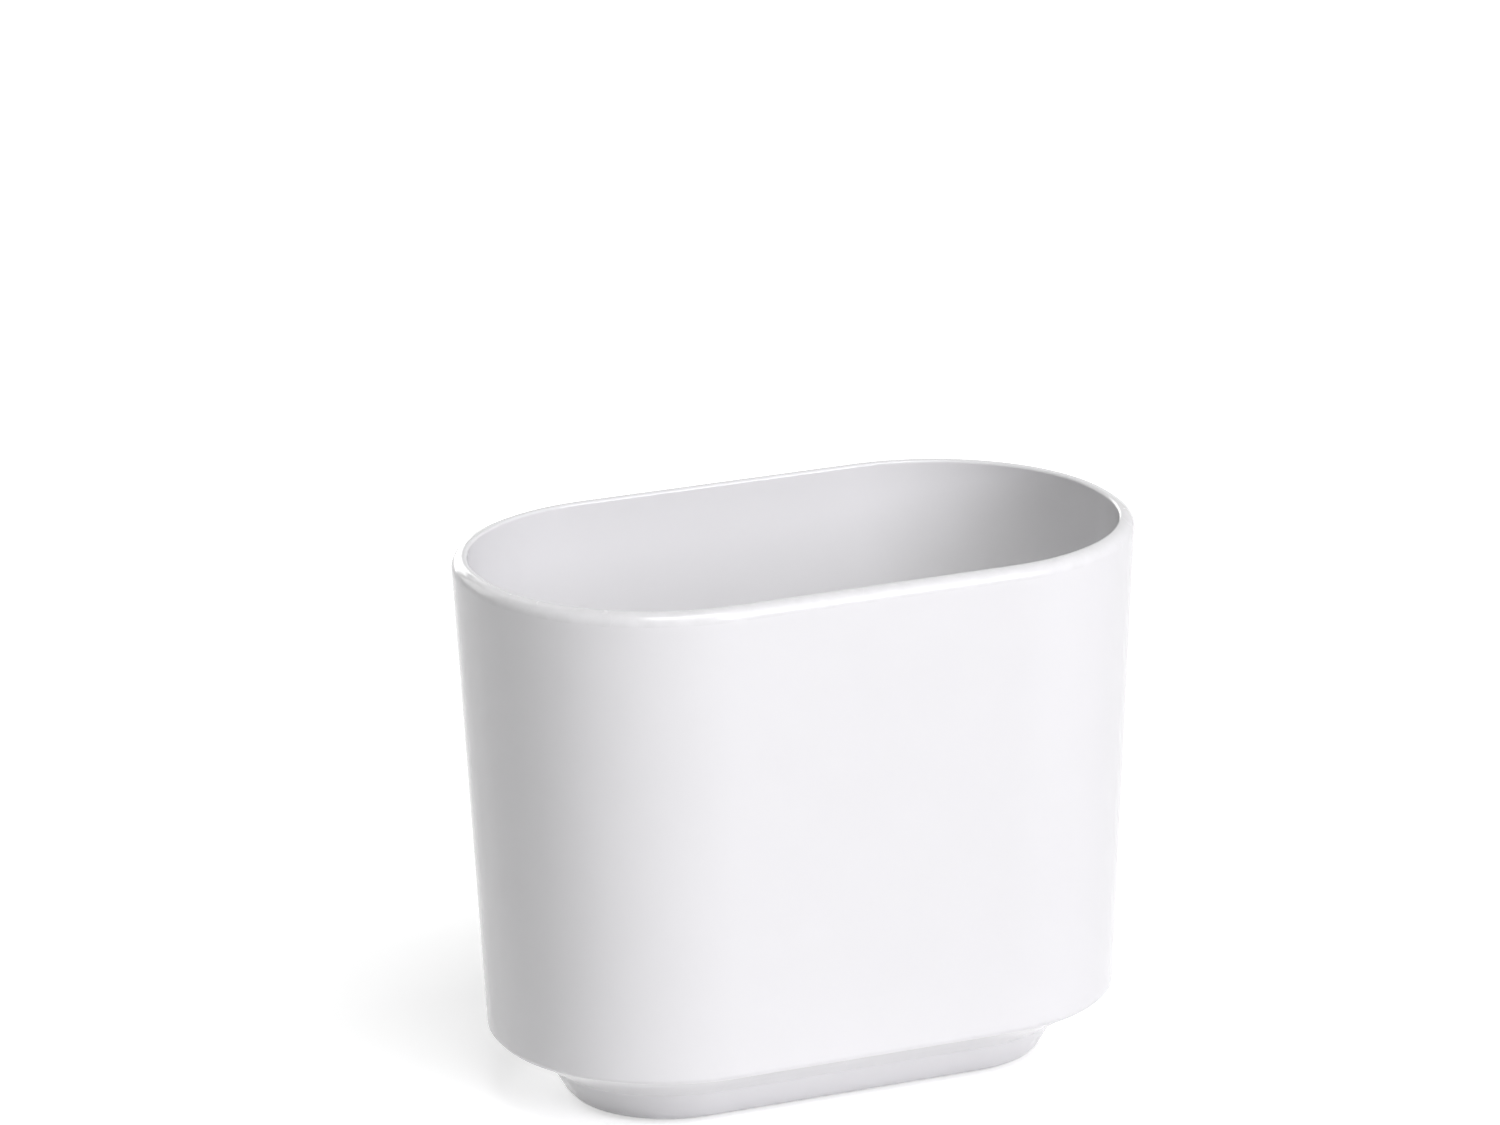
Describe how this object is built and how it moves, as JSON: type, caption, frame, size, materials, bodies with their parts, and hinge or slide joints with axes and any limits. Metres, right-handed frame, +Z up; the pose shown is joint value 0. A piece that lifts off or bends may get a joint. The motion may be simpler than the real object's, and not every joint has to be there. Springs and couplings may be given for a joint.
{
  "type": "toothbrush holder",
  "caption": "Open moulded cup of rounded-rectangle plan with drafted walls and a narrower stepped foot, on soft non-slip pads, for standing toothbrushes and a tube upright.",
  "frame": {"origin": "on the standing surface, under the middle of the cup", "axes": "+X along the cup's long way, +Y towards the rear broad side, +Z up out of the cup's mouth"},
  "size_m": [0.118, 0.07, 0.095],
  "materials": {
    "gloss_white": "glossy compression-moulded white, with soft even reflections",
    "soft_pad": "satin translucent-grey soft pad"
  },
  "bodies": {
    "root": {"cup": "gloss_white", "pad_front_left": "soft_pad", "pad_front_right": "soft_pad", "pad_rear_left": "soft_pad", "pad_rear_right": "soft_pad"}
  },
  "joints": []
}
